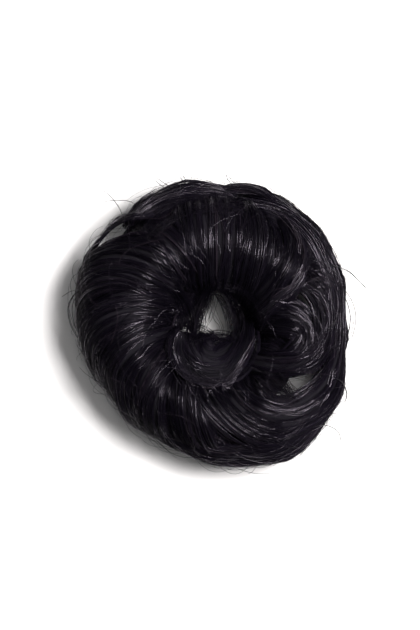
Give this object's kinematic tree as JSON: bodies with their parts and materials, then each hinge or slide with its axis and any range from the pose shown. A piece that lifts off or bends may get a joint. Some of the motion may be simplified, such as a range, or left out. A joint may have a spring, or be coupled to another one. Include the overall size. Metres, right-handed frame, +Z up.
{
  "type": "scrunchie hairpiece",
  "caption": "Ring of black wavy hair wound on a hidden elastic, its locks curling over the roll, with an open hole in the middle for a bun or ponytail.",
  "frame": {"origin": "on the surface it lies on, below the middle of its bounding box", "axes": "+Z up out of the hole, +Y towards the top of the picture, +X to its right"},
  "size_m": [0.1396, 0.1464, 0.052],
  "materials": {
    "hair": "near-black hair with a soft sheen along its strands",
    "elastic": "black elastic with a matte knitted cover"
  },
  "bodies": {
    "root": {"elastic_band": "elastic", "wound_roll": "hair", "lock_top_roll": "hair", "lock_top_rim": "hair", "lock_top_left_loop": "hair", "lock_rim_loop_a": "hair", "lock_rim_loop_b": "hair", "lock_upper_right": "hair", "lock_turn_inner": "hair", "lock_turn_outer": "hair", "lock_right_roll": "hair", "lock_right_sweep": "hair", "lock_bottom_sweep": "hair", "lock_bottom_rim": "hair", "lock_left_fan_a": "hair", "lock_left_fan_b": "hair", "lock_left_fan_c": "hair", "lock_lower_left_a": "hair", "lock_lower_left_b": "hair", "lock_center_curl": "hair", "lock_hole_left": "hair", "lock_under_right": "hair", "lock_under_bottom": "hair", "lock_under_left": "hair", "lock_top_left_fan": "hair", "lock_right_wall": "hair", "lock_under_top": "hair"}
  },
  "joints": []
}
